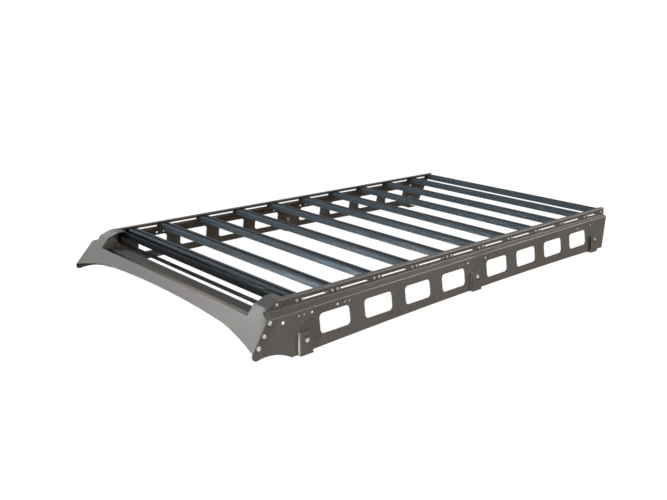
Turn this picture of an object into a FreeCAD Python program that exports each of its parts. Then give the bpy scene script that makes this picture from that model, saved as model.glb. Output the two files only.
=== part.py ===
import FreeCAD, Part
import math
import os
import Sketcher

os.makedirs("parts", exist_ok=True)
doc = FreeCAD.newDocument("roof_rack")
sizes = doc.addObject("Spreadsheet::Sheet", "sizes")

# Frame: X across the vehicle, left is +X, the front faces -Y, Z up from the feet
driving_sizes = {
    # Sheet metal and the section of the two side plates
    "sheet": 3,
    "fold_inside": 2,
    "band_half_span": 550,
    "top_height": 183,
    "lip_width": 19,
    "band_drop": 32,
    "strip_fall": 0.36,
    "strip_join": 6,
    "flare": 0.168,
    "web_front_spread": 31.2,
    "web_rear_spread": 15.3,
    # Crossbars
    "bar_six": 104.1,
    "bar_pitch": 200,
    "bar_front_gap": 154,
    "bar_rear_gap": 151,
    "bar_width": 44,
    "bar_height": 22.5,
    "bar_lip_gap": 4.7,
    "bar_round": 5,
    "bar_wall": 2.4,
    "slot_mouth": 9,
    "slot_width": 17,
    "slot_lip": 2.6,
    "slot_depth": 9,
    # Outline of the side plates seen from the side
    "front_margin": 9,
    "rear_edge_run": 17,
    "shoulder_setback": 88,
    "nose_setback": 142,
    "nose_drop": 25.5,
    "strip_clear": 1,
    "tail_tip_height": 51.3,
    "tail_heel_drop": 23.1,
    "tail_heel_run": 14.5,
    "tail_bulge": 8.75,
    "tail_arch_radius": 184,
    "tail_arch_setback": 73,
    "bump_run": 5,
    "bump_rise": 1.2,
    "bump_round": 11,
    "edge_height": 3.2,
    "edge_rise": 13,
    "rear_slant_drop": 44,
    "rear_slant_run": 49,
    "rear_corner_run": 9,
    "rear_corner_rise": 8,
    "rear_corner_round": 10,
    # Windows in the web, two rows of four
    "window_front_setback": 124,
    "window_before_middle": 204.5,
    "window_after_middle": 75.3,
    "window_rear_setback": 250.2,
    "window_length": 138,
    "window_top_drop": 70.5,
    "window_low_height": 44.5,
    "window_corner": 16,
    # Long slots in the band between the bars
    "band_slot_clear": 28,
    "band_slot_front_clear": 17,
    "band_slot_height": 6.5,
    "slot_row_drop": 18.8,
    # Round holes in the web and the band
    "hole_row_drop": 58,
    "hole_small": 6,
    "hole_large": 9,
    "hole_pair_gap": 113.5,
    "hole_second": 34,
    "hole_third": 55.5,
    "holes_front_setback": 84.5,
    "holes_middle_setback": 51.9,
    "holes_rear_setback": 184.5,
    "eye_hole": 12,
    "eye_setback": 95,
    "eye_drop": 64.5,
    "band_hole_setback": 61,
    "oval_length": 14,
    "oval_height": 7,
    "oval_setback": 116,
    "oval_drop": 21,
    # Wind fairing
    "fairing_angle": 52.3,
    "fairing_setback": 153.56,
    "fairing_anchor_drop": 44.5,
    "fairing_fold_drop": 17.5,
    "fairing_clear": 0.9,
    "fairing_low_height": 50.4,
    "fairing_wide_drop": 43.8,
    "post_inset": 4,
    "opening_inset": 64,
    "sill_rise": 5.2,
    "arch_knee_inset": 150,
    "arch_knee_height": 86.7,
    "arch_crown_rise": 14.9,
    "arch_end_radius": 1213,
    "tab_flat_run": 30,
    "tab_clear": 2,
    "flange_width": 24,
    "flange_low_height": 58,
    "flange_top_drop": 4,
    "flange_clear": 0.2,
    # Light bar tray and the cross plate behind it
    "tray_wall_clear": 5,
    "tray_wall_foot": 12,
    "tray_wall_lean": 20,
    "tray_wall_rise": 2,
    "shelf_drop": 59.5,
    "shelf_front_setback": 132,
    "shelf_rear_setback": 85,
    "shelf_lip": 14,
    "cross_plate_setback": 59,
    "cross_plate_drop": 64.5,
    "cross_slot_drop": 29.5,
    "cross_slot_height": 20,
    "cross_slot_inset": 30,
    # Mount brackets
    "bracket_front_setback": 48,
    "bracket_middle_setback": 105,
    "bracket_rear_setback": 152,
    "bracket_width": 56,
    "bracket_front_lean": 7,
    "bracket_rear_lean": 3,
    "bracket_height": 75,
    "bracket_proud": 10,
    "bracket_depth": 60,
    "bracket_slot_width": 9,
    "bracket_slot_length": 22,
    "bracket_slot_height": 50,
    "bracket_slot_setback": 34,
    "foot_reach": 52,
    "foot_hole": 9,
    "foot_hole_inset": 31,
    "foot_hole_pitch": 28,
}

# Plain sums that several pieces share
shared_sums = {
    "fold_outside": "fold_inside + sheet",
    "band_inner_half": "band_half_span - sheet",
    "web_front_half_span": "band_half_span + web_front_spread",
    "web_rear_half_span": "band_half_span + web_rear_spread",
    "band_low_height": "top_height - band_drop",
    "slot_row_height": "top_height - slot_row_drop",
    "hole_row_height": "top_height - hole_row_drop",
    "bar_top": "top_height - sheet - bar_lip_gap",
    "bar_two": "bar_six - 4 * bar_pitch",
    "bar_ten": "bar_six + 4 * bar_pitch",
    "bar_one": "bar_two - bar_front_gap",
    "bar_eleven": "bar_ten + bar_rear_gap",
    "bar_length": "2 * band_inner_half",
    "fairing_rise": "tan(fairing_angle * 1 deg)",
    "fairing_sine": "sin(fairing_angle * 1 deg)",
    "fairing_anchor": "bar_one - fairing_setback",
    "fairing_anchor_height": "top_height - fairing_anchor_drop",
    "fairing_run": "sheet / fairing_sine",
    "edge_anchor": "fairing_anchor - fairing_run",
    "tail_tip": "edge_anchor - (fairing_anchor_height - tail_tip_height) / fairing_rise",
    "tail_heel_height": "tail_tip_height - tail_heel_drop",
    "tail_chord": "sqrt(tail_heel_run ^ 2 + tail_heel_drop ^ 2)",
    "tail_round": "(tail_chord ^ 2 / 4 + tail_bulge ^ 2) / (2 * tail_bulge)",
    "fold_height": "top_height - fairing_fold_drop",
    "fold_back": "fairing_anchor + (fold_height - fairing_anchor_height) / fairing_rise",
    "shoulder_front": "fold_back - fairing_run",
    "strip_run": "(band_low_height - fairing_anchor_height) / fairing_rise",
    "strip_front": "fairing_anchor + strip_run + strip_clear",
    "shoulder_rear": "bar_one - shoulder_setback",
    "nose_front": "bar_one - nose_setback",
    "nose_height": "top_height - nose_drop",
    "tail_arch_end": "bar_one - tail_arch_setback",
    "plate_front": "tail_tip - front_margin",
    "plate_rear": "bar_eleven + rear_edge_run",
    "slant_foot": "plate_rear - rear_slant_run",
    "edge_front": "tail_arch_end + bump_run",
    "edge_rear": "slant_foot - rear_corner_run",
    "edge_radius": "((edge_rear - edge_front) ^ 2 / 4 + edge_rise ^ 2) / (2 * edge_rise)",
    "web_front_height": "band_low_height - web_front_spread * strip_fall",
    "web_rear_height": "band_low_height - web_rear_spread * strip_fall",
    "web_taper": "(web_rear_half_span - web_front_half_span) / (plate_rear - plate_front)",
    "strip_skew": "sqrt(1 + strip_fall * strip_fall)",
    "flare_skew": "sqrt(1 + flare * flare)",
    "band_bend": "sqrt((strip_skew - strip_fall) / (strip_skew + strip_fall))",
    "skews": "strip_skew * flare_skew",
    "web_bend": "sqrt((skews - flare - strip_fall) / (skews + flare + strip_fall))",
    "fold_in": "sheet * (strip_skew * flare - flare_skew) / (1 - strip_fall * flare)",
    "fold_down": "-strip_fall * fold_in - sheet * strip_skew",
    "band_fold_down": "strip_fall * sheet - sheet * strip_skew",
    "window_height": "top_height - window_top_drop - window_low_height",
    "window_middle_height": "window_low_height + window_height / 2",
    "window_front_pitch": "(bar_six - window_before_middle - bar_one - window_front_setback) / 3",
    "window_rear_pitch": "(bar_eleven - window_rear_setback - bar_six - window_after_middle) / 3",
    "post_half_span": "band_half_span - post_inset",
    "opening_half_span": "band_half_span - opening_inset",
    "shelf_height": "top_height - shelf_drop",
    "shelf_front": "bar_one - shelf_front_setback",
    "shelf_rear": "bar_one - shelf_rear_setback",
    "tray_wall_half": "opening_half_span + tray_wall_clear",
    "cross_plate_front": "bar_one - cross_plate_setback",
    "fairing_wide_height": "top_height - fairing_wide_drop",
    "fairing_side_half": "web_front_half_span - sheet * flare_skew - fairing_clear",
    "fairing_lower_half": "fairing_side_half + (web_front_height - fairing_low_height) * flare",
    "fairing_upper_half": "fairing_side_half + (web_front_height - fairing_wide_height) * flare",
    "fairing_foot_rise": "(fairing_upper_half - post_half_span) * strip_fall",
    "fairing_low": "(fairing_low_height - fairing_anchor_height) / fairing_sine",
    "fairing_wide": "(fairing_wide_height - fairing_anchor_height) / fairing_sine",
    "fairing_foot": "fairing_wide + fairing_foot_rise / fairing_sine",
    "fairing_top": "(fold_height - fairing_anchor_height) / fairing_sine",
    "fairing_sill": "(shelf_height + sill_rise - fairing_anchor_height) / fairing_sine",
    "arch_knee_half": "band_half_span - arch_knee_inset",
    "arch_knee": "(arch_knee_height - fairing_anchor_height) / fairing_sine",
    "arch_radius": "(arch_knee_half ^ 2 + arch_crown_rise ^ 2) / (2 * arch_crown_rise)",
}


def fill_sheet():
    # One named size a row, first those that can be set, then the sums made from them
    row = 0
    for alias, amount in list(driving_sizes.items()) + list(shared_sums.items()):
        row = row + 1
        text = str(amount) if alias in driving_sizes else "=" + amount
        sizes.set("A" + str(row), alias)
        sizes.set("B" + str(row), text)
        sizes.setAlias("B" + str(row), alias)
    doc.recompute()


fill_sheet()


def size(words):
    # An expression in plain words becomes one that reads the sheet
    made = []
    for word in words.split(" "):
        core = word.strip("()-")
        known = core in driving_sizes or core in shared_sums
        made.append(word.replace(core, "sizes." + core) if known else word)
    return " ".join(made)


def bind(target, expressions):
    for name, words in expressions.items():
        target.setExpression(name, size(words))


def now(sketch, words):
    return float(sketch.evalExpression(size(words)))


def pin(sketch, piece, end, x_words, y_words):
    # Hold one point of a sketch at sizes taken from the sheet
    across = Sketcher.Constraint("DistanceX", -1, 1, piece, end, now(sketch, x_words))
    upright = Sketcher.Constraint("DistanceY", -1, 1, piece, end, now(sketch, y_words))
    first = sketch.addConstraint(across)
    second = sketch.addConstraint(upright)
    sketch.setExpression("Constraints[%d]" % first, size(x_words))
    sketch.setExpression("Constraints[%d]" % second, size(y_words))


def arc_between(start, stop, radius, turn):
    # An arc that bulges to the right of travel for turn 1 and to the left for turn -1
    chord = stop.sub(start)
    reach = (radius ** 2 - (chord.Length / 2) ** 2) ** 0.5
    inward = FreeCAD.Vector(-chord.y, chord.x, 0).normalize() * reach * turn
    centre = start + chord * 0.5 + inward
    begin = start if turn > 0 else stop
    finish = stop if turn > 0 else start
    from_angle = math.atan2(begin.y - centre.y, begin.x - centre.x)
    to_angle = math.atan2(finish.y - centre.y, finish.x - centre.x)
    ring = Part.Circle(centre, FreeCAD.Vector(0, 0, 1), radius)
    return Part.ArcOfCircle(ring, from_angle, to_angle)


def outline(sketch, corners, arcs=None):
    # A closed outline; a side with a number in arcs is an arc of that radius
    arcs = arcs or {}
    spots = [FreeCAD.Vector(now(sketch, x), now(sketch, y), 0) for x, y in corners]
    first = sketch.GeometryCount
    count = len(spots)
    ends = []
    for i in range(count):
        start = spots[i]
        stop = spots[(i + 1) % count]
        if i not in arcs:
            sketch.addGeometry(Part.LineSegment(start, stop), False)
            ends.append((1, 2))
            continue
        words, turn = arcs[i]
        sketch.addGeometry(arc_between(start, stop, now(sketch, words), turn), False)
        ends.append((1, 2) if turn > 0 else (2, 1))
        k = sketch.addConstraint(Sketcher.Constraint("Radius", first + i, now(sketch, words)))
        sketch.setExpression("Constraints[%d]" % k, size(words))
    for i in range(count):
        j = (i + 1) % count
        meet = Sketcher.Constraint("Coincident", first + i, ends[i][1], first + j, ends[j][0])
        sketch.addConstraint(meet)
    for i in range(count):
        pin(sketch, first + i, ends[i][0], corners[i][0], corners[i][1])
    doc.recompute()


def rounded(sketch, x, y, width, height, corner):
    # A rectangle with round corners about a middle point
    left = x + " - " + width + " / 2"
    right = x + " + " + width + " / 2"
    low = y + " - " + height + " / 2"
    high = y + " + " + height + " / 2"
    outline(sketch, [
        (left + " + " + corner, low),
        (right + " - " + corner, low),
        (right, low + " + " + corner),
        (right, high + " - " + corner),
        (right + " - " + corner, high),
        (left + " + " + corner, high),
        (left, high + " - " + corner),
        (left, low + " + " + corner),
    ], {1: (corner, 1), 3: (corner, 1), 5: (corner, 1), 7: (corner, 1)})


def rectangle(sketch, left, right, low, high):
    outline(sketch, [(left, low), (right, low), (right, high), (left, high)])


def oblong(sketch, one, two, across):
    # A long hole with round ends about two middle points
    near = FreeCAD.Vector(now(sketch, one[0]), now(sketch, one[1]), 0)
    far = FreeCAD.Vector(now(sketch, two[0]), now(sketch, two[1]), 0)
    radius = now(sketch, across) / 2
    along = far.sub(near).normalize()
    aside = FreeCAD.Vector(along.y, -along.x, 0) * radius
    right_angle = math.atan2(aside.y, aside.x)
    upright = FreeCAD.Vector(0, 0, 1)
    far_ring = Part.Circle(far, upright, radius)
    near_ring = Part.Circle(near, upright, radius)
    n = sketch.GeometryCount
    sketch.addGeometry(Part.LineSegment(near + aside, far + aside), False)
    sketch.addGeometry(Part.ArcOfCircle(far_ring, right_angle, right_angle + math.pi), False)
    sketch.addGeometry(Part.LineSegment(far - aside, near - aside), False)
    sketch.addGeometry(Part.ArcOfCircle(near_ring, right_angle + math.pi, right_angle + 2 * math.pi), False)
    for i in range(4):
        sketch.addConstraint(Sketcher.Constraint("Tangent", n + i, 2, n + (i + 1) % 4, 1))
    sketch.addConstraint(Sketcher.Constraint("Equal", n + 1, n + 3))
    k = sketch.addConstraint(Sketcher.Constraint("Diameter", n + 1, 2 * radius))
    sketch.setExpression("Constraints[%d]" % k, size(across))
    pin(sketch, n + 3, 3, one[0], one[1])
    pin(sketch, n + 1, 3, two[0], two[1])
    doc.recompute()


def circle(sketch, x, y, across):
    n = sketch.GeometryCount
    middle = FreeCAD.Vector(now(sketch, x), now(sketch, y), 0)
    ring = Part.Circle(middle, FreeCAD.Vector(0, 0, 1), now(sketch, across) / 2)
    sketch.addGeometry(ring, False)
    k = sketch.addConstraint(Sketcher.Constraint("Diameter", n, now(sketch, across)))
    sketch.setExpression("Constraints[%d]" % k, size(across))
    pin(sketch, n, 3, x, y)


finished = []


def whole(target, name):
    # Name a finished sub-part for its step file
    target.Label = name
    finished.append((name, target))


def mirrored(source, name):
    other = doc.addObject("Part::Mirroring", name + "_mirror")
    other.Source = source
    other.Normal = (1, 0, 0)
    return other


def fused(name, shapes):
    made = doc.addObject("Part::MultiFuse", name)
    made.Shapes = shapes
    return made


def cut_by(name, base, tool):
    made = doc.addObject("Part::Cut", name)
    made.Base = base
    made.Tool = tool
    return made


def common_of(name, base, tool):
    made = doc.addObject("Part::Common", name)
    made.Base = base
    made.Tool = tool
    return made


def box(name, place, spans):
    made = doc.addObject("Part::Box", name)
    for axis, words in zip(("x", "y", "z"), place):
        bind(made, {"Placement.Base." + axis: words})
    for side, words in zip(("Length", "Width", "Height"), spans):
        bind(made, {side: words})
    return made


side_view = FreeCAD.Rotation(0.5, 0.5, 0.5, 0.5)
front_view = FreeCAD.Rotation(FreeCAD.Vector(1, 0, 0), 90)


def free_sketch(name, turn):
    sketch = doc.addObject("Sketcher::SketchObject", name)
    sketch.Placement = FreeCAD.Placement(FreeCAD.Vector(0, 0, 0), turn)
    return sketch


def extruded(name, sketch, length, symmetric=False):
    solid = doc.addObject("Part::Extrusion", name)
    solid.Base = sketch
    solid.DirMode = "Normal"
    solid.Solid = True
    solid.Symmetric = symmetric
    bind(solid, {"LengthFwd": length})
    return solid


# Side plate: one bent sheet with a lip, an upright band, a sloping strip and a flaring web
plate = doc.addObject("PartDesign::Body", "side_plate_left_body")


def plate_sketch(name, role, offset=None):
    # A sketch on one of the plate's own planes, moved along the plane's normal
    sketch = plate.newObject("Sketcher::SketchObject", name)
    plane = [item for item in plate.Origin.OriginFeatures if item.Role == role][0]
    sketch.AttachmentSupport = [(plane, "")]
    sketch.MapMode = "FlatFace"
    if offset:
        bind(sketch, {"AttachmentOffset.Base.z": offset})
    doc.recompute()
    return sketch


def sheet_pad(name, sketch):
    # The sheet runs from the front end of the plate to the rear end
    pad = plate.newObject("PartDesign::Pad", name)
    pad.Profile = sketch
    pad.Reversed = True
    bind(pad, {"Length": "plate_rear - plate_front"})
    plate.Tip = pad
    return pad


# Web and strip: the section follows the line of their fold, which runs slightly inwards
web_section = plate_sketch("web_section", "XZ_Plane", "-plate_front")
outer_run = "fold_outside * web_bend"
inner_run = "fold_inside * web_bend"
foot = "web_front_half_span + ( web_front_height + 20 ) * flare"
inner_x = "web_front_half_span + fold_in"
inner_z = "web_front_height + fold_down"
outline(web_section, [
    ("band_half_span", "band_low_height"),
    ("web_front_half_span - " + outer_run + " / strip_skew",
     "web_front_height + " + outer_run + " * strip_fall / strip_skew"),
    ("web_front_half_span + " + outer_run + " * flare / flare_skew",
     "web_front_height - " + outer_run + " / flare_skew"),
    (foot, "-20"),
    (foot + " - sheet * flare_skew", "-20"),
    (inner_x + " + " + inner_run + " * flare / flare_skew",
     inner_z + " - " + inner_run + " / flare_skew"),
    (inner_x + " - " + inner_run + " / strip_skew",
     inner_z + " + " + inner_run + " * strip_fall / strip_skew"),
    ("band_half_span", "band_low_height - sheet * strip_skew"),
], {1: ("fold_outside", -1), 5: ("fold_inside", 1)})
web_sheet = sheet_pad("web_sheet", web_section)
web_sheet.Reversed = False
web_sheet.UseCustomVector = True
web_sheet.AlongSketchNormal = True
bind(web_sheet, {
    "Direction.x": "web_taper",
    "Direction.y": "1",
    "Direction.z": "-strip_fall * web_taper",
})
doc.recompute()

# The strip is cut off straight where the band's own section takes over
join_mark = plate_sketch("strip_join_mark", "XY_Plane")
strip_end = "band_half_span + strip_join"
rectangle(join_mark, "0", strip_end, "plate_front - 10", "plate_rear + 10")
join_cut = plate.newObject("PartDesign::Pocket", "strip_join_cut")
join_cut.Profile = join_mark
join_cut.Type = 1
join_cut.Reversed = True
plate.Tip = join_cut
doc.recompute()

# Lip, band and the start of the strip, folded with one inside radius
band_section = plate_sketch("band_section", "XZ_Plane", "-plate_front")
outer_run = "fold_outside * band_bend"
inner_run = "fold_inside * band_bend"
inner_z = "band_low_height + band_fold_down"
strip_end_low = "band_low_height - strip_join * strip_fall"
outline(band_section, [
    ("band_half_span - lip_width", "top_height"),
    ("band_half_span - fold_outside", "top_height"),
    ("band_half_span", "top_height - fold_outside"),
    ("band_half_span", "band_low_height + " + inner_run),
    ("band_half_span + " + inner_run + " / strip_skew",
     "band_low_height - " + inner_run + " * strip_fall / strip_skew"),
    (strip_end, strip_end_low),
    (strip_end, strip_end_low + " - sheet * strip_skew"),
    ("band_inner_half + " + outer_run + " / strip_skew",
     inner_z + " - " + outer_run + " * strip_fall / strip_skew"),
    ("band_inner_half", inner_z + " + " + outer_run),
    ("band_inner_half", "top_height - sheet - fold_inside"),
    ("band_inner_half - fold_inside", "top_height - sheet"),
    ("band_half_span - lip_width", "top_height - sheet"),
], {1: ("fold_outside", -1), 3: ("fold_inside", 1), 7: ("fold_outside", -1), 9: ("fold_inside", 1)})
sheet_pad("band_sheet", band_section)
doc.recompute()


def cut_through(name, sketch):
    # A cut from the middle plane out to the left through the plate
    cut = plate.newObject("PartDesign::Pocket", name)
    cut.Profile = sketch
    cut.Type = 0
    cut.Reversed = True
    bind(cut, {"Length": "web_front_half_span + 200"})
    plate.Tip = cut
    doc.recompute()
    return cut


def row_of(name, cut, sketch, copies, length):
    row = plate.newObject("PartDesign::LinearPattern", name)
    row.Originals = [cut]
    row.Direction = (sketch, ["H_Axis"])
    row.Occurrences = copies
    bind(row, {"Length": length})
    plate.Tip = row
    doc.recompute()


# Outline seen from the side: everything outside it is cut away
trim = plate_sketch("outline_sketch", "YZ_Plane")
rectangle(trim, "plate_front - 200", "plate_rear + 200", "-80", "top_height + 120")
outline(trim, [
    ("plate_rear", "top_height + 20"),
    ("shoulder_rear", "top_height + 20"),
    ("shoulder_rear", "top_height"),
    ("shoulder_front", "fold_height"),
    ("nose_front", "nose_height"),
    ("strip_front", "band_low_height"),
    ("fairing_anchor + strip_clear", "fairing_anchor_height"),
    ("edge_anchor", "fairing_anchor_height"),
    ("tail_tip", "tail_tip_height"),
    ("tail_tip + tail_heel_run", "tail_heel_height"),
    ("tail_arch_end - bump_run", "edge_height + bump_rise"),
    ("edge_front", "edge_height"),
    ("edge_rear", "edge_height"),
    ("slant_foot", "edge_height + rear_corner_rise"),
    ("plate_rear", "top_height - rear_slant_drop"),
], {
    8: ("tail_round", 1),
    9: ("tail_arch_radius", -1),
    10: ("bump_round", 1),
    11: ("edge_radius", -1),
    12: ("rear_corner_round", 1),
})
cut_through("outline_cut", trim)

# The lip stops short of the fairing's tab
notch = plate_sketch("lip_notch", "XY_Plane", "top_height - sheet - fold_inside")
notch_rear = "shoulder_rear + tab_flat_run + tab_clear"
rectangle(notch, "band_half_span - 2 * lip_width", "band_inner_half", "shoulder_rear - 20", notch_rear)
notch_cut = plate.newObject("PartDesign::Pocket", "lip_notch_cut")
notch_cut.Profile = notch
notch_cut.Reversed = True
bind(notch_cut, {"Length": "2 * sheet + fold_inside"})
plate.Tip = notch_cut
doc.recompute()

# Windows: two rows of four, one each side of the middle bracket
window_rows = [
    ("front", "bar_one + window_front_setback", "3 * window_front_pitch"),
    ("rear", "bar_six + window_after_middle", "3 * window_rear_pitch"),
]
for tag, first, length in window_rows:
    window = plate_sketch("window_" + tag, "YZ_Plane")
    rounded(window, first, "window_middle_height", "window_length", "window_height", "window_corner")
    window_cut = cut_through("window_cut_" + tag, window)
    row_of("window_row_" + tag, window_cut, window, 4, length)


def band_slot(sketch, start, stop):
    low = "slot_row_height - band_slot_height / 2"
    rectangle(sketch, start, stop, low, "slot_row_height + band_slot_height / 2")


# Long slots in the band: a short one at each end and one between every two bars
end_slots = plate_sketch("band_slots_end", "YZ_Plane")
band_slot(end_slots, "bar_one + band_slot_front_clear", "bar_two - band_slot_clear")
band_slot(end_slots, "bar_ten + band_slot_clear", "bar_eleven - band_slot_clear")
cut_through("band_slot_cut_end", end_slots)
slots = plate_sketch("band_slot_first", "YZ_Plane")
band_slot(slots, "bar_two + band_slot_clear", "bar_two + bar_pitch - band_slot_clear")
slot_cut = cut_through("band_slot_cut", slots)
row_of("band_slot_row", slot_cut, slots, 8, "7 * bar_pitch")

# Round holes: pairs of three under the upper fold, and those at the front of the band
holes = plate_sketch("round_holes", "YZ_Plane")
for middle in ("bar_one + holes_front_setback", "bar_six - holes_middle_setback"):
    for sign in (" - ", " + "):
        large = middle + sign + "hole_pair_gap / 2"
        circle(holes, large, "hole_row_height", "hole_large")
        circle(holes, large + sign + "hole_second", "hole_row_height", "hole_small")
        circle(holes, large + sign + "hole_third", "hole_row_height", "hole_small")
for sign in (" - ", " + "):
    last = "bar_eleven - holes_rear_setback" + sign + "hole_pair_gap / 2"
    circle(holes, last, "hole_row_height", "hole_large")
circle(holes, "bar_one - eye_setback", "top_height - eye_drop", "eye_hole")
circle(holes, "bar_one - band_hole_setback", "slot_row_height", "hole_small")
circle(holes, "bar_one", "slot_row_height", "hole_small")
oval_height_mark = "top_height - oval_drop"
oval_front = "bar_one - oval_setback + oval_height / 2"
oval_rear = "bar_one - oval_setback + oval_length - oval_height / 2"
oblong(holes, (oval_front, oval_height_mark), (oval_rear, oval_height_mark), "oval_height")
cut_through("round_hole_cut", holes)
whole(plate, "side_plate_left")
whole(mirrored(plate, "side_plate_right"), "side_plate_right")
doc.recompute()

# Crossbars: one drawn section with a long slot above and below, and two hollow sides
section = free_sketch("bar_section", side_view)
half = "bar_width / 2"
mouth = "slot_mouth / 2"
wing = "slot_width / 2"
outline(section, [
    ("-" + half, "0"),
    ("-" + mouth, "0"),
    ("-" + mouth, "slot_lip"),
    ("-" + wing, "slot_lip"),
    ("-" + wing, "slot_depth"),
    (wing, "slot_depth"),
    (wing, "slot_lip"),
    (mouth, "slot_lip"),
    (mouth, "0"),
    (half, "0"),
    (half, "bar_height - bar_round"),
    (half + " - bar_round", "bar_height"),
    (mouth, "bar_height"),
    (mouth, "bar_height - slot_lip"),
    (wing, "bar_height - slot_lip"),
    (wing, "bar_height - slot_depth"),
    ("-" + wing, "bar_height - slot_depth"),
    ("-" + wing, "bar_height - slot_lip"),
    ("-" + mouth, "bar_height - slot_lip"),
    ("-" + mouth, "bar_height"),
    ("-" + half + " + bar_round", "bar_height"),
    ("-" + half, "bar_height - bar_round"),
], {10: ("bar_round", 1), 20: ("bar_round", 1)})
for sign in ("", "-"):
    inner = sign + "(" + wing + " + bar_wall )"
    outer = sign + "(" + half + " - bar_wall )"
    outline(section, [
        (inner, "bar_wall"),
        (outer, "bar_wall"),
        (outer, "bar_height - bar_round"),
        (sign + "(" + half + " - bar_round )", "bar_height - bar_wall"),
        (inner, "bar_height - bar_wall"),
    ])
bar_places = ["bar_one", "bar_two"]
bar_places = bar_places + ["bar_two + %d * bar_pitch" % step for step in range(1, 8)]
bar_places = bar_places + ["bar_ten", "bar_eleven"]
for number, at in enumerate(bar_places, 1):
    bar = extruded("bar_%02d" % number, section, "bar_length", True)
    bind(bar, {"Placement.Base.y": at, "Placement.Base.z": "bar_top - bar_height"})
    whole(bar, "crossbar_%02d" % number)
doc.recompute()

# Wind fairing: a sloping plate with an arched lower edge and a wide opening for a light bar
drawn = free_sketch("fairing_outline", FreeCAD.Rotation())
fairing_half = [
    ("fairing_lower_half", "fairing_low"),
    ("fairing_upper_half", "fairing_wide"),
    ("post_half_span", "fairing_foot"),
    ("post_half_span", "fairing_top"),
    ("opening_half_span", "fairing_top"),
    ("opening_half_span", "fairing_sill"),
]
other_half = [("-( " + x + " )", y) for x, y in reversed(fairing_half)]
arch_knees = [("-arch_knee_half", "arch_knee"), ("arch_knee_half", "arch_knee")]
outline(drawn, fairing_half + other_half + arch_knees, {
    11: ("arch_end_radius", -1),
    12: ("arch_radius", -1),
    13: ("arch_end_radius", -1),
})
sloping = extruded("fairing_plate", drawn, "sheet")
sloping.Placement.Rotation = FreeCAD.Rotation(FreeCAD.Vector(1, 0, 0), 45)
bind(sloping, {
    "Placement.Base.y": "fairing_anchor",
    "Placement.Base.z": "fairing_anchor_height",
    "Placement.Rotation.Angle": "fairing_angle * 1 deg",
})

# Tabs that carry the fairing onto the bands: a rising strip and a level end
tab_side = free_sketch("tab_section", side_view)
outline(tab_side, [
    ("fold_back", "fold_height - sheet"),
    ("shoulder_front", "fold_height"),
    ("shoulder_rear", "top_height"),
    ("shoulder_rear + tab_flat_run", "top_height"),
    ("shoulder_rear + tab_flat_run", "top_height - sheet"),
    ("shoulder_rear + sheet / 4", "top_height - sheet"),
])
tab = extruded("fairing_tab", tab_side, "band_inner_half - opening_half_span")
bind(tab, {"Placement.Base.x": "opening_half_span"})


def inside_space(name, inset):
    # The space on the inner side of the web's outer face, moved inwards
    ends = []
    for tag, at, span, height in (
        ("front", "plate_front", "web_front_half_span", "web_front_height"),
        ("rear", "plate_rear", "web_rear_half_span", "web_rear_height"),
    ):
        sketch = free_sketch(name + "_" + tag, front_view)
        bind(sketch, {"Placement.Base.y": at})
        reach = span + " - ( " + inset + " )"
        outline(sketch, [
            ("band_half_span / 2", height),
            ("band_half_span / 2", "-60"),
            (reach + " + ( " + height + " + 60 ) * flare", "-60"),
            (reach, height),
        ])
        ends.append(sketch)
    made = doc.addObject("Part::Loft", name)
    made.Sections = ends
    made.Solid = True
    made.Ruled = True
    doc.recompute()
    return made


# Flanges folded back from the fairing's ends behind the webs, for the screws
flange_side = free_sketch("flange_outline", side_view)
low_front = "fairing_anchor - ( fairing_anchor_height - flange_low_height ) / fairing_rise"
high_front = "fairing_anchor - flange_top_drop / fairing_rise"
flange_high = "fairing_anchor_height - flange_top_drop"
outline(flange_side, [
    (low_front, "flange_low_height"),
    (low_front + " + flange_width / fairing_sine", "flange_low_height"),
    (high_front + " + flange_width / fairing_sine", flange_high),
    (high_front, flange_high),
])
strip = extruded("flange_strip", flange_side, "web_front_half_span + 100")
outer_space = inside_space("flange_outer", "sheet * flare_skew + flange_clear")
inner_space = inside_space("flange_inner", "2 * sheet * flare_skew + flange_clear")
flange = cut_by("fairing_flange", common_of("flange_kept", strip, outer_space), inner_space)
fairing = fused("fairing", [
    sloping,
    tab,
    mirrored(tab, "fairing_tab_right"),
    flange,
    mirrored(flange, "fairing_flange_right"),
])
whole(fairing, "wind_fairing")
doc.recompute()

# Light bar tray: a shelf with a turned-down front lip between two end walls
wall_side = free_sketch("tray_wall_section", side_view)
floor_front = "fairing_anchor - ( fairing_anchor_height - shelf_height + sheet ) / fairing_rise"
outline(wall_side, [
    (floor_front, "shelf_height - sheet"),
    ("shelf_rear + tray_wall_foot", "shelf_height - sheet"),
    ("shoulder_rear - tray_wall_lean", "fold_height + tray_wall_rise"),
    ("fold_back", "fold_height - sheet"),
    ("fold_back - sheet / fairing_rise", "fold_height - sheet"),
])
wall = extruded("tray_wall", wall_side, "sheet")
bind(wall, {"Placement.Base.x": "tray_wall_half"})
shelf_run = "shelf_rear - shelf_front"
shelf_low = "shelf_height - sheet"
shelf_place = ("-tray_wall_half", "shelf_front", shelf_low)
shelf = box("tray_shelf", shelf_place, ("2 * tray_wall_half", shelf_run, "sheet"))
lip_place = ("-tray_wall_half", "shelf_front", "shelf_height - shelf_lip")
lip = box("tray_lip", lip_place, ("2 * tray_wall_half", "sheet", "shelf_lip"))
tray = fused("tray", [wall, mirrored(wall, "tray_wall_right"), shelf, lip])
whole(tray, "light_bar_tray")

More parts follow.
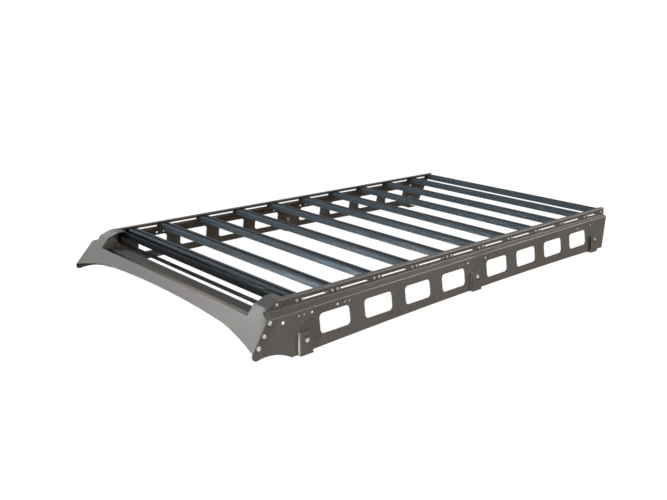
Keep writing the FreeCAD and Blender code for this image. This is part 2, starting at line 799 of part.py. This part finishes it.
# Cross plate behind the tray: an upright strip with one long slot
cross_low = "top_height - cross_plate_drop"
cross_span = "cross_plate_drop - sheet - fold_inside"
cross_place = ("-band_inner_half", "cross_plate_front", cross_low)
upright = box("cross_blank", cross_place, ("bar_length", "sheet", cross_span))
gap_low = "top_height - cross_slot_drop - cross_slot_height"
gap_half = "( band_half_span - cross_slot_inset )"
gap_place = ("-" + gap_half, "cross_plate_front - sheet", gap_low)
gap = box("cross_gap", gap_place, ("2 * " + gap_half, "3 * sheet", "cross_slot_height"))
whole(cut_by("cross_plate", upright, gap), "front_cross_plate")
doc.recompute()

# Mount brackets: a tapered pan parallel to the web, with a bolt slot and an inward foot
web_space = inside_space("plate_inside", "0")
wall_outer = inside_space("bracket_outside", "-bracket_proud")
wall_inner = inside_space("bracket_inside", "sheet * flare_skew - bracket_proud")
bracket_rows = [
    ("front", "bar_one - bracket_front_setback", "0"),
    ("middle", "bar_six - bracket_middle_setback", "edge_rise"),
    ("rear", "bar_eleven - bracket_rear_setback", "0"),
]


def bracket_sides(name, at, lift, inset):
    # The bracket seen from the side, drawn inwards by the sheet for its hollow
    sketch = free_sketch(name, side_view)
    high = lift + " + bracket_height + " + inset
    outline(sketch, [
        (at + " + " + inset, lift + " + " + inset),
        (at + " + bracket_width - " + inset, lift + " + " + inset),
        (at + " + bracket_width - bracket_rear_lean - " + inset, high),
        (at + " + bracket_front_lean + " + inset, high),
    ])
    return sketch


for tag, at, lift in bracket_rows:
    spread = "( web_front_spread + ( " + at + " - plate_front ) * web_taper )"
    fall = "( band_low_height - " + lift + " - " + spread + " * strip_fall )"
    face = "band_half_span + " + spread + " + " + fall + " * flare + bracket_proud"
    side = bracket_sides("bracket_side_" + tag, at, lift, "0")
    block = extruded("bracket_block_" + tag, side, "bracket_depth")
    bind(block, {"Placement.Base.x": face + " - bracket_depth"})
    inner_side = bracket_sides("bracket_hollow_side_" + tag, at, lift, "sheet")
    core = extruded("bracket_core_" + tag, inner_side, "bracket_depth")
    bind(core, {"Placement.Base.x": face + " - bracket_depth"})
    outside = common_of("bracket_outer_" + tag, block, wall_outer)
    hollow = common_of("bracket_hollow_" + tag, core, wall_inner)
    pan = cut_by("bracket_pan_" + tag, outside, hollow)
    trimmed = cut_by("bracket_trimmed_" + tag, pan, web_space)
    foot_place = (face + " - foot_reach", at, lift)
    foot = box("bracket_foot_" + tag, foot_place, ("foot_reach - sheet / 2", "bracket_width", "sheet"))
    joined = fused("bracket_joined_" + tag, [trimmed, foot])
    drill_marks = free_sketch("bracket_holes_" + tag, FreeCAD.Rotation())
    for sign in (" - ", " + "):
        mark = at + " + bracket_width / 2" + sign + "foot_hole_pitch / 2"
        circle(drill_marks, face + " - foot_hole_inset", mark, "foot_hole")
    drill = extruded("bracket_drill_" + tag, drill_marks, "4 * sheet", True)
    bind(drill, {"Placement.Base.z": lift})
    slot_side = free_sketch("bracket_slot_side_" + tag, side_view)
    slot_at = at + " + bracket_slot_setback"
    slot_half = "( bracket_slot_length - bracket_slot_width ) / 2"
    slot_low = lift + " + bracket_slot_height - " + slot_half
    slot_high = lift + " + bracket_slot_height + " + slot_half
    oblong(slot_side, (slot_at, slot_low), (slot_at, slot_high), "bracket_slot_width")
    opening = extruded("bracket_opening_" + tag, slot_side, "2 * bracket_depth", True)
    bind(opening, {"Placement.Base.x": face})
    bracket = cut_by("bracket_" + tag, joined, fused("bracket_tools_" + tag, [drill, opening]))
    doc.recompute()
    whole(bracket, "mount_bracket_left_" + tag)
    whole(mirrored(bracket, "mount_bracket_right_" + tag), "mount_bracket_right_" + tag)
doc.recompute()

for item in doc.Objects:
    if "Invalid" in item.State or "Error" in item.State:
        raise SystemExit("not built: " + item.Name)
for name, target in finished:
    shape = target.Shape
    if shape.isNull() or not shape.isValid():
        raise SystemExit("bad solid: " + name)
    shape.exportStep("parts/" + name + ".step")
    print(name, len(shape.Solids), round(shape.Volume))
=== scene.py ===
# %% [markdown]
# # Expedition roof rack
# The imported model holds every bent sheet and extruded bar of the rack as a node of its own.
# This lesson dresses those nodes in their coatings, adds the screws that hold them together
# and puts the rack in a plain studio, seen as in a catalogue picture.

import math

import bpy
from mathutils import Matrix, Vector


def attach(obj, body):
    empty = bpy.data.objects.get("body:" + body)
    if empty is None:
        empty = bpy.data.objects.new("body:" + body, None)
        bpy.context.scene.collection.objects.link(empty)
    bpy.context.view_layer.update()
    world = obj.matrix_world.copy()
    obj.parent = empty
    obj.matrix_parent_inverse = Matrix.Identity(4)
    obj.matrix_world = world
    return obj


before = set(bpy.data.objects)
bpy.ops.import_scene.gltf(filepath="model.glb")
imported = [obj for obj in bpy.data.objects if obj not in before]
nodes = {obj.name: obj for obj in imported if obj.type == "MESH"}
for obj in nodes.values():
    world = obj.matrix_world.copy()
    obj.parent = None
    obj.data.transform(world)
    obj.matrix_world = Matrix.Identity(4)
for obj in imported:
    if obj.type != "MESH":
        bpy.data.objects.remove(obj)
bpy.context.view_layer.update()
MM = 0.001

# %% [markdown]
# ## Camera
# The picture was taken from the front left corner, a little above the rack. A camera that is
# turned in three plain steps, round, down and a slight roll, is easier to read than one matrix
# of numbers. Its place and focal length were found from the screw heads and from the edges of
# the plates and bars. The Standard view is chosen because it leaves a white table white.

# %% Camera
CAMERA_PLACE = (2.3595, -2.39235, 1.0429)
CAMERA_TURN = 46.993
CAMERA_DIP = 16.608
CAMERA_ROLL = 1.136
FOCAL_LENGTH = 42.304
camera_data = bpy.data.cameras.new("catalogue_camera")
camera_data.sensor_width = 36
camera_data.lens = FOCAL_LENGTH
camera_data.clip_end = 200
camera = bpy.data.objects.new("catalogue_camera", camera_data)
bpy.context.scene.collection.objects.link(camera)
turn = Matrix.Rotation(math.radians(CAMERA_TURN), 4, "Z")
tilt = Matrix.Rotation(math.radians(90 - CAMERA_DIP), 4, "X")
roll = Matrix.Rotation(math.radians(CAMERA_ROLL), 4, "Z")
camera.matrix_world = Matrix.Translation(CAMERA_PLACE) @ turn @ tilt @ roll
bpy.context.scene.camera = camera
bpy.context.scene.view_settings.view_transform = "Standard"
print("camera", FOCAL_LENGTH, "mm")

# %% [markdown]
# ## Colours and nodes
# Colours are written as they look on a screen, so one function turns them into the linear
# values that shaders use. A second small function adds a node with its settings and links,
# which keeps each material short enough to read from top to bottom. A Mix node keeps its colour
# sockets behind those for plain values, so their numbers get names here.

# %% Helpers for materials
MIX_SHARE = 0
MIX_FIRST = 6
MIX_SECOND = 7
MIX_RESULT = 2


def linear(screen_colour):
    parts = [int(screen_colour[i:i + 2], 16) / 255 for i in (1, 3, 5)]
    return [c / 12.92 if c <= 0.04045 else ((c + 0.055) / 1.055) ** 2.4 for c in parts] + [1]


def add(material, kind, settings=None, links=None):
    node = material.node_tree.nodes.new(kind)
    for name, value in (settings or {}).items():
        if isinstance(name, str) and hasattr(node, name):
            setattr(node, name, value)
        else:
            node.inputs[name].default_value = value
    for name, socket in (links or {}).items():
        material.node_tree.links.new(socket, node.inputs[name])
    return node


def blank_material(name):
    material = bpy.data.materials.new(name)
    material.use_nodes = True
    material.node_tree.nodes.clear()
    return material


print("helpers ready")

# %% [markdown]
# ## Powder coat on the bent sheets
# The sheets are aluminium with a baked powder coat. The powder melts into a fine sandy skin, so
# the eye sees a dark, warm grey with a soft sheen and no sharp reflection. The grains are about
# 0.8 mm across; they are drawn at 4 mm here, because finer ones are lost in the picture.
# Wide clouds make the sheen uneven, as handling and dust do. The coat is thin on the cut edges
# and rubs off there first, and the pale edges also stand for a painted highlight on edges and
# folds: a rounded copy of the normal finds them and pales them. A thin satin layer on top gives
# the folds their pale lines.

# %% Powder coat
GRAIN_SIZE = 4
COAT_CLOUD = 90
EDGE_ROUNDING = 1.2
SAND_HEIGHT = 0.25


def powder_coat(name, deep, pale, wear_and_highlight_tone, roughness):
    coat = blank_material(name)
    place = add(coat, "ShaderNodeTexCoord").outputs["Object"]
    grain = add(coat, "ShaderNodeTexNoise", {"Scale": 1 / (GRAIN_SIZE * MM), "Detail": 2.0},
                {"Vector": place})
    clouds = add(coat, "ShaderNodeTexNoise", {"Scale": 1 / (COAT_CLOUD * MM), "Detail": 4.0},
                 {"Vector": place})
    speckle = add(coat, "ShaderNodeMapRange",
                  {"From Min": 0.3, "From Max": 0.7, "To Min": 0.0, "To Max": 0.55},
                  {"Value": grain.outputs["Fac"]})
    drift = add(coat, "ShaderNodeMath", {"operation": "MULTIPLY_ADD", 1: 0.5},
                {0: clouds.outputs["Fac"], 2: speckle.outputs[0]})
    colour = add(coat, "ShaderNodeMix",
                 {"data_type": "RGBA", MIX_FIRST: linear(deep), MIX_SECOND: linear(pale)},
                 {MIX_SHARE: drift.outputs[0]})
    soft = add(coat, "ShaderNodeBevel", {"samples": 4, "Radius": EDGE_ROUNDING * MM})
    flat = add(coat, "ShaderNodeNewGeometry")
    bent = add(coat, "ShaderNodeVectorMath", {"operation": "DOT_PRODUCT"},
               {0: soft.outputs[0], 1: flat.outputs["Normal"]})
    # Pale edges and folds: partly wear of the thin coat, partly a painted highlight along them.
    wear_and_highlight_mask = add(coat, "ShaderNodeMapRange",
              {"From Min": 0.98, "From Max": 0.75, "To Min": 0.0, "To Max": 0.6},
              {"Value": bent.outputs["Value"]})
    wear_and_highlight_mix = add(coat, "ShaderNodeMix", {"data_type": "RGBA", MIX_SECOND: linear(wear_and_highlight_tone)},
               {MIX_SHARE: wear_and_highlight_mask.outputs[0], MIX_FIRST: colour.outputs[MIX_RESULT]})
    sheen = add(coat, "ShaderNodeMapRange",
                {"From Min": 0.25, "From Max": 0.75, "To Min": roughness - 0.07, "To Max": roughness + 0.09},
                {"Value": clouds.outputs["Fac"]})
    sand = add(coat, "ShaderNodeBump", {"Strength": 0.25, "Distance": SAND_HEIGHT * MM},
               {"Height": grain.outputs["Fac"], "Normal": soft.outputs[0]})
    skin = add(coat, "ShaderNodeBsdfPrincipled", {"IOR": 1.5, "Coat Weight": 0.4, "Coat Roughness": 0.28},
               {"Base Color": wear_and_highlight_mix.outputs[MIX_RESULT], "Roughness": sheen.outputs[0],
                "Normal": sand.outputs[0]})
    add(coat, "ShaderNodeOutputMaterial", None, {"Surface": skin.outputs[0]})
    return coat


# The third colour is the pale edge tone, partly wear and partly painted highlight.
plate_coat = powder_coat("powder_coat_on_sheet", "#4b4947", "#686562", "#908e89", 0.5)
print(plate_coat.name)

# %% [markdown]
# ## Anodised bars
# The crossbars are extruded aluminium, anodised to a dark blue grey. The die leaves faint lines
# along the bar, so a noise that is stretched along X draws them. The film is etched before it is
# dyed, so the bars look matt and bluish, with a pale line only on the rounded upper edges. A paler
# tone is painted on what faces up, a painted light from above that makes the tops paler than
# the sides.

# %% Anodised aluminium
DIE_LINE = 1.5
FILM_CLOUD = 120
SOFT_EDGE = 0.8
LINE_HEIGHT = 0.1
TOP_LIGHT_TONE = "#424c54"


def anodised(name, deep, pale):
    film = blank_material(name)
    place = add(film, "ShaderNodeTexCoord").outputs["Object"]
    along = add(film, "ShaderNodeMapping", {"Scale": (0.01, 1, 1)}, {"Vector": place})
    lines = add(film, "ShaderNodeTexNoise", {"Scale": 1 / (DIE_LINE * MM), "Detail": 2.0},
                {"Vector": along.outputs[0]})
    clouds = add(film, "ShaderNodeTexNoise", {"Scale": 1 / (FILM_CLOUD * MM), "Detail": 3.0},
                 {"Vector": place})
    colour = add(film, "ShaderNodeMix",
                 {"data_type": "RGBA", MIX_FIRST: linear(deep), MIX_SECOND: linear(pale)},
                 {MIX_SHARE: lines.outputs["Fac"]})
    facing = add(film, "ShaderNodeNewGeometry").outputs["Normal"]
    upward = add(film, "ShaderNodeSeparateXYZ", None, {0: facing}).outputs["Z"]
    # Painted light: faces that look up are mixed towards a paler tone, for the light from above.
    top_light_mask = add(film, "ShaderNodeMapRange",
                  {"From Min": 0.6, "From Max": 0.95, "To Min": 0.0, "To Max": 0.85}, {"Value": upward})
    top_lit = add(film, "ShaderNodeMix", {"data_type": "RGBA", MIX_SECOND: linear(TOP_LIGHT_TONE)},
                {MIX_SHARE: top_light_mask.outputs[0], MIX_FIRST: colour.outputs[MIX_RESULT]})
    sheen = add(film, "ShaderNodeMapRange",
                {"From Min": 0.25, "From Max": 0.75, "To Min": 0.46, "To Max": 0.58},
                {"Value": clouds.outputs["Fac"]})
    soft = add(film, "ShaderNodeBevel", {"samples": 4, "Radius": SOFT_EDGE * MM})
    drawn = add(film, "ShaderNodeBump", {"Strength": 0.03, "Distance": LINE_HEIGHT * MM},
                {"Height": lines.outputs["Fac"], "Normal": soft.outputs[0]})
    skin = add(film, "ShaderNodeBsdfPrincipled", {"IOR": 1.6, "Specular IOR Level": 0.2},
               {"Base Color": top_lit.outputs[MIX_RESULT], "Roughness": sheen.outputs[0],
                "Normal": drawn.outputs[0]})
    add(film, "ShaderNodeOutputMaterial", None, {"Surface": skin.outputs[0]})
    return film


bar_coat = anodised("anodised_aluminium_bar", "#2a3239", "#363f47")
# A darker copy of the bar film: painted shade for the cross plate behind the fairing and tray.
painted_shade_cross_coat = anodised("anodised_cross_plate_painted_shade", "#0f1315", "#171c1f")
print(bar_coat.name, painted_shade_cross_coat.name)

# %% [markdown]
# ## Zinc-plated screws
# The screws are steel with a bright zinc plating. Zinc soon grows a thin white bloom, so the
# screws look pale from every side: part metal, part white. A fine noise breaks the shine up.

# %% Zinc-plated steel
TOOL_MARK = 0.8
MARK_HEIGHT = 0.05


def zinc_plated(name, tone, roughness):
    steel = blank_material(name)
    place = add(steel, "ShaderNodeTexCoord").outputs["Object"]
    marks = add(steel, "ShaderNodeTexNoise", {"Scale": 1 / (TOOL_MARK * MM), "Detail": 2.0},
                {"Vector": place})
    shine = add(steel, "ShaderNodeMapRange",
                {"From Min": 0.3, "From Max": 0.7, "To Min": roughness - 0.06, "To Max": roughness + 0.08},
                {"Value": marks.outputs["Fac"]})
    turned = add(steel, "ShaderNodeBump", {"Strength": 0.1, "Distance": MARK_HEIGHT * MM},
                 {"Height": marks.outputs["Fac"]})
    skin = add(steel, "ShaderNodeBsdfPrincipled", {"Base Color": linear(tone), "Metallic": 0.6},
               {"Roughness": shine.outputs[0], "Normal": turned.outputs[0]})
    add(steel, "ShaderNodeOutputMaterial", None, {"Surface": skin.outputs[0]})
    return steel


screw_steel = zinc_plated("zinc_plated_steel", "#e6e6e4", 0.32)
print(screw_steel.name)

# %% [markdown]
# ## Dressing the nodes
# A node keeps its mesh and only takes a new material. The bars are told from the sheets by
# their names, and the cross plate behind the fairing gets a darker copy of the bar film: painted
# shade, for the shade it lies in behind the fairing and the tray.

# %% Materials on the nodes
def coat_of(name):
    if name.startswith("crossbar"):
        return bar_coat
    if name == "front_cross_plate":
        return painted_shade_cross_coat
    return plate_coat


for name, node in nodes.items():
    node.data.materials.clear()
    node.data.materials.append(coat_of(name))
print("dressed", len(nodes), "nodes")

# %% [markdown]
# ## Turned pieces
# Screws, washers and nuts are all short cylinders that stand on Z, with their upper rims
# rounded off by a lathe tool or a press. A bevel on the edges of the upper face alone does
# that. The cylinders of one fastener are then joined into one object.

# %% Helpers for turned pieces
ROUND_SIDES = 32
HEXAGON_SIDES = 6
WASHER_RIM = 0.3
SMOOTH_ANGLE = math.radians(35)
TOUCH = 1e-6


def fresh_start():
    bpy.ops.object.select_all(action="DESELECT")


def round_rim(piece, height, width, steps):
    bpy.ops.object.mode_set(mode="EDIT")
    bpy.ops.mesh.select_mode(type="EDGE")
    bpy.ops.mesh.select_all(action="DESELECT")
    bpy.ops.object.mode_set(mode="OBJECT")
    for edge in piece.data.edges:
        edge.select = all(piece.data.vertices[i].co.z > height - TOUCH for i in edge.vertices)
    bpy.ops.object.mode_set(mode="EDIT")
    bpy.ops.mesh.bevel(offset=width, segments=steps, profile=0.5, affect="EDGES")
    bpy.ops.object.mode_set(mode="OBJECT")


def cylinder(sides, radius, low, high, wear_and_highlight_mask, steps=2):
    fresh_start()
    bpy.ops.mesh.primitive_cylinder_add(vertices=sides, radius=radius * MM, depth=(high - low) * MM,
                                        location=(0, 0, (low + high) / 2 * MM))
    bpy.ops.object.transform_apply(location=True, rotation=True, scale=True)
    piece = bpy.context.object
    round_rim(piece, high * MM, wear_and_highlight_mask * MM, steps)
    return piece


def joined(name, pieces):
    fresh_start()
    for piece in pieces:
        piece.select_set(True)
    bpy.context.view_layer.objects.active = pieces[0]
    bpy.ops.object.join()
    bpy.ops.object.shade_smooth_by_angle(angle=SMOOTH_ANGLE)
    fastener = bpy.context.object
    fastener.name = name
    fastener.data.materials.clear()
    fastener.data.materials.append(screw_steel)
    return fastener


print("helpers for turned pieces ready")

# %% [markdown]
# ## A button head screw
# Every joint of the rack is a low domed screw with a hexagon socket on a flat washer. One screw
# is modelled at the origin, standing on Z: a disc for the washer, a cylinder whose upper rim is
# rounded into a dome, and a six-sided hole cut into it.

# %% Model the screws
DOME_SHARE = 0.78
DOME_STEPS = 5
SOCKET_CUT = 1.3


def button_screw(name, head, rise, key, washer, washer_rise):
    top = washer_rise + rise
    disc = cylinder(ROUND_SIDES, washer / 2, 0, washer_rise, WASHER_RIM)
    dome = cylinder(ROUND_SIDES, head / 2, washer_rise, top, DOME_SHARE * rise, DOME_STEPS)
    fresh_start()
    bpy.ops.mesh.primitive_cylinder_add(vertices=HEXAGON_SIDES, radius=key / math.sqrt(3) * MM,
                                        depth=SOCKET_CUT * rise * MM, location=(0, 0, top * MM))
    socket = bpy.context.object
    fresh_start()
    dome.select_set(True)
    bpy.context.view_layer.objects.active = dome
    cut = dome.modifiers.new("hexagon_socket", "BOOLEAN")
    cut.operation = "DIFFERENCE"
    cut.object = socket
    bpy.ops.object.modifier_apply(modifier=cut.name)
    bpy.data.objects.remove(socket)
    return joined(name, [dome, disc])


small_screw = button_screw("small_screw", head=10.5, rise=3.3, key=4, washer=12, washer_rise=1.2)
large_screw = button_screw("large_screw", head=14, rise=4.4, key=5, washer=15, washer_rise=1.6)
print("screw faces", len(small_screw.data.polygons), len(large_screw.data.polygons))

# %% [markdown]
# ## A nut on the inner side
# Behind the sheets the screws of the tabs, the fairing and the brackets end in a hexagon nut on
# a washer, with a little thread standing out. A six-sided cylinder with a rounded upper rim is
# the nut, and a plain cylinder through it is the end of the screw. On a bracket that cylinder
# also runs back to the screw's head, because it shows in the bracket's slot.

# %% Model the nuts
NUT_BASE = 1.4
NUT_RIM = 0.7
THREAD_SIDES = 24
THREAD_RIM = 0.5
THREAD_END = 2
BRACKET_GRIP = 12.86


def hexagon_nut(name, across, rise, thread, washer, shank):
    top = NUT_BASE + rise
    return joined(name, [
        cylinder(ROUND_SIDES, washer / 2, 0, NUT_BASE, WASHER_RIM),
        cylinder(HEXAGON_SIDES, across / math.sqrt(3), NUT_BASE, top, NUT_RIM),
        cylinder(THREAD_SIDES, thread / 2, -shank, top + THREAD_END, THREAD_RIM),
    ])


small_nut = hexagon_nut("small_nut", across=10, rise=5, thread=6, washer=12, shank=0)
large_nut = hexagon_nut("large_nut", across=13, rise=6.5, thread=8, washer=16, shank=0)
bracket_nut = hexagon_nut("bracket_nut", across=13, rise=6.5, thread=8, washer=16, shank=BRACKET_GRIP)
print("nut faces", len(small_nut.data.polygons), len(large_nut.data.polygons), len(bracket_nut.data.polygons))

# %% [markdown]
# ## Screws in their places
# A copy is turned so that its Z axis points out of the sheet and is then moved to its hole. The
# place is applied to the mesh, so each screw ends as an object at the origin. The right side
# is the mirror of the left, and a screw is round, so only its place is mirrored. Each end of a
# bar takes two screws, an equal way before and behind its middle, which is read from the node.

# %% Screws on the bands
SIDES = (("left", 1), ("right", -1))
SHEET = 3
BAND_FACE = 550
SCREW_ROW = 164.6
SCREW_SHIFTS = (("a", -12.3), ("b", 12.3))
TAB_HOLE = (-944.7, 169.3)


def bar_middle(bar):
    along = [vertex.co.y for vertex in bar.data.vertices]
    return (min(along) + max(along)) / 2 / MM


def set_screw(model, name, place, outward):
    fresh_start()
    model.select_set(True)
    bpy.context.view_layer.objects.active = model
    bpy.ops.object.duplicate()
    copy = bpy.context.object
    copy.name = name
    copy.rotation_euler = Vector(outward).to_track_quat("Z", "Y").to_euler()
    copy.location = Vector(place) * MM
    bpy.ops.object.transform_apply(location=True, rotation=True, scale=True)
    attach(copy, "root")


def set_nut(model, name, place, outward, grip):
    inward = -Vector(outward).normalized()
    set_screw(model, name, Vector(place) + inward * grip, inward)


bar_places = [bar_middle(nodes[name]) for name in sorted(nodes) if name.startswith("crossbar")]
for side, sign in SIDES:
    for number, bar in enumerate(bar_places, 1):
        for letter, shift in SCREW_SHIFTS:
            name = "bar_screw_%s_%02d_%s" % (side, number, letter)
            set_screw(small_screw, name, (sign * BAND_FACE, bar + shift, SCREW_ROW), (sign, 0, 0))
    tab_place = (sign * BAND_FACE, *TAB_HOLE)
    set_screw(small_screw, "tab_screw_" + side, tab_place, (sign, 0, 0))
    set_nut(small_nut, "tab_nut_" + side, tab_place, (sign, 0, 0), SHEET)
print("screws on the bands", len(SIDES) * (len(SCREW_SHIFTS) * len(bar_places) + 1))

# %% [markdown]
# The web leans outwards as it goes down, so a screw on it stands square to that slope. The
# lean and the fold height are the sheet's own, and the web's span narrows towards the rear.

# %% Screws on the webs and brackets
LEAN = 0.168
PLATE_FRONT = -1083.65
PLATE_LENGTH = 2155.75
SPAN_FRONT = 581.2
SPAN_REAR = 565.3
BAND_FOOT = 151
STRIP_SLOPE = 0.36
BRACKET_PROUD = 10
FLANGE_GAP = 0.2
FAIRING_GRIP = 2 * SHEET + FLANGE_GAP
FAIRING_HOLES = ((-997.7, 130.4), (-1024.9, 95.9), (-1050.4, 64.7))
BRACKET_HOLES = (("front", -863.9, 46.6), ("middle", 33.1, 66.3), ("rear", 937.1, 55.8))


def web_face(y, z):
    span = SPAN_FRONT + (SPAN_REAR - SPAN_FRONT) * (y - PLATE_FRONT) / PLATE_LENGTH
    fold = BAND_FOOT - (span - BAND_FACE) * STRIP_SLOPE
    return span + (fold - z) * LEAN


for side, sign in SIDES:
    outward = (sign, 0, LEAN)
    for number, (y, z) in enumerate(FAIRING_HOLES, 1):
        place = (sign * web_face(y, z), y, z)
        set_screw(large_screw, "fairing_screw_%s_%d" % (side, number), place, outward)
        set_nut(large_nut, "fairing_nut_%s_%d" % (side, number), place, outward, FAIRING_GRIP)
    for tag, y, z in BRACKET_HOLES:
        place = (sign * (web_face(y, z) + BRACKET_PROUD), y, z)
        set_screw(large_screw, "bracket_screw_%s_%s" % (side, tag), place, outward)
        set_nut(bracket_nut, "bracket_nut_%s_%s" % (side, tag), place, outward, BRACKET_GRIP)
for model in (small_screw, large_screw, small_nut, large_nut, bracket_nut):
    bpy.data.objects.remove(model)
print("screws with nuts on the webs", len(SIDES) * (len(FAIRING_HOLES) + len(BRACKET_HOLES)))

# %% [markdown]
# ## Studio
# The rack stands on a light table: white, translucent and lit from below, so that neither a
# shadow nor a horizon shows. A disc makes it, and its rim is drawn up into a round wall of the
# same. The table is hidden from the rack's own reflections, which would wash out the dark
# coats, and lets the lamps under it shine through.

# %% Light table
TABLE_RADIUS = 14
WALL_HEIGHT = 14
TABLE_SIDES = 96
TABLE_GRAIN = 250
fresh_start()
bpy.ops.mesh.primitive_circle_add(vertices=TABLE_SIDES, radius=TABLE_RADIUS, fill_type="NGON",
                                  location=(0, 0, 0))
floor = bpy.context.object
floor.name = "studio_floor"
bpy.ops.object.mode_set(mode="EDIT")
bpy.ops.mesh.select_mode(type="EDGE")
bpy.ops.mesh.select_all(action="SELECT")
bpy.ops.mesh.region_to_loop()
bpy.ops.mesh.extrude_edges_move(TRANSFORM_OT_translate={"value": (0, 0, WALL_HEIGHT)})
bpy.ops.object.mode_set(mode="OBJECT")
table = blank_material("lit_white_acrylic")
spot = add(table, "ShaderNodeTexCoord").outputs["Object"]
grain = add(table, "ShaderNodeTexNoise", {"Scale": 1 / (TABLE_GRAIN * MM), "Detail": 2.0}, {"Vector": spot})
tone = add(table, "ShaderNodeMix",
           {"data_type": "RGBA", MIX_FIRST: linear("#fefefe"), MIX_SECOND: linear("#ffffff")},
           {MIX_SHARE: grain.outputs["Fac"]})
sheet = add(table, "ShaderNodeBsdfPrincipled",
            {"Roughness": 0.9, "Base Color": linear("#202020"), "Emission Strength": 1.0},
            {"Emission Color": tone.outputs[MIX_RESULT]})
add(table, "ShaderNodeOutputMaterial", None, {"Surface": sheet.outputs[0]})
floor.data.materials.append(table)
floor.visible_diffuse = False
floor.visible_glossy = False
floor.visible_shadow = False
print("table faces", len(floor.data.polygons))

# %% [markdown]
# ## Surround
# A photographer hangs white and dark cloths round the rack. A plain world can stand for them:
# it is brightest at the height of the rack, dim overhead and brown below. So the outer webs
# stay readable, while the inner faces of the far plate fall into a warm shade.

# %% Surround
world = bpy.data.worlds.new("studio")
world.use_nodes = True
world.node_tree.nodes.clear()
towards = add(world, "ShaderNodeTexCoord").outputs["Generated"]
height = add(world, "ShaderNodeSeparateXYZ", None, {0: towards}).outputs["Z"]
above = add(world, "ShaderNodeMapRange",
            {"From Min": 0.0, "From Max": 0.6, "To Min": 0.6, "To Max": 0.22}, {"Value": height})
below = add(world, "ShaderNodeMapRange",
            {"From Min": -0.5, "From Max": 0.0, "To Min": 0.15, "To Max": 0.6}, {"Value": height})
band = add(world, "ShaderNodeMath", {"operation": "MINIMUM"}, {0: above.outputs[0], 1: below.outputs[0]})
shift = add(world, "ShaderNodeMapRange", {"From Min": -0.3, "From Max": 0.15}, {"Value": height})
warmth = add(world, "ShaderNodeMix",
             {"data_type": "RGBA", MIX_FIRST: linear("#b88a62"), MIX_SECOND: linear("#fff8ee")},
             {MIX_SHARE: shift.outputs[0]})
glow = add(world, "ShaderNodeBackground", None,
           {"Color": warmth.outputs[MIX_RESULT], "Strength": band.outputs[0]})
add(world, "ShaderNodeOutputWorld", None, {"Surface": glow.outputs[0]})
bpy.context.scene.world = world
print("surround ready")

# %% [markdown]
# ## Lamps
# The table's lamp stands far out in front, below the table, and fills every face that looks
# forwards. It is kept out of reflections, because seen from behind it would turn the inner face
# of a plate as white as the table. A small lamp with a narrow beam lights the near front
# corner, most of all the end of its bracket. Two strips only draw lines: a cool one at the left
# of the picture on the bars' edges, a plain one far behind on the folds of the plates. A wide,
# weak panel at the side keeps the near plate from going dull.

# %% Lamps
def soft_box(name, place, target, width, height, power, tone, spread=180):
    light = bpy.data.lights.new(name, "AREA")
    light.shape = "RECTANGLE"
    light.size = width
    light.size_y = height
    light.energy = power
    light.color = linear(tone)[:3]
    light.spread = math.radians(spread)
    lamp = bpy.data.objects.new(name, light)
    lamp.location = place
    lamp.rotation_euler = (Vector(place) - Vector(target)).to_track_quat("Z", "Y").to_euler()
    lamp.visible_camera = False
    bpy.context.scene.collection.objects.link(lamp)
    return lamp


table_lamp = soft_box("table_lamp", place=(-2.4, -7.4, -2.3), target=(-0.3, 0, 0.1),
                      width=2.5, height=2, power=1000, tone="#fcfff6")
table_lamp.visible_glossy = False
soft_box("corner_lamp", place=(1.62, -6.5, -4.2), target=(0.75, -0.9, 0.05),
         width=0.8, height=0.8, power=16, tone="#fcfff6", spread=12)
soft_box("left_strip", place=(-3.5, -1.9, 2.6), target=(0, -0.5, 0.1),
         width=3, height=0.6, power=100, tone="#e2ecff")
soft_box("rear_strip", place=(7.8, 14.8, 11.5), target=(0.55, 0, 0.1),
         width=3, height=8, power=2600, tone="#fffdf8")
soft_box("side_panel", place=(6.5, -2.6, 0.9), target=(0, -0.6, 0.1),
         width=5, height=1.5, power=80, tone="#f2f7ff")
print("studio ready")
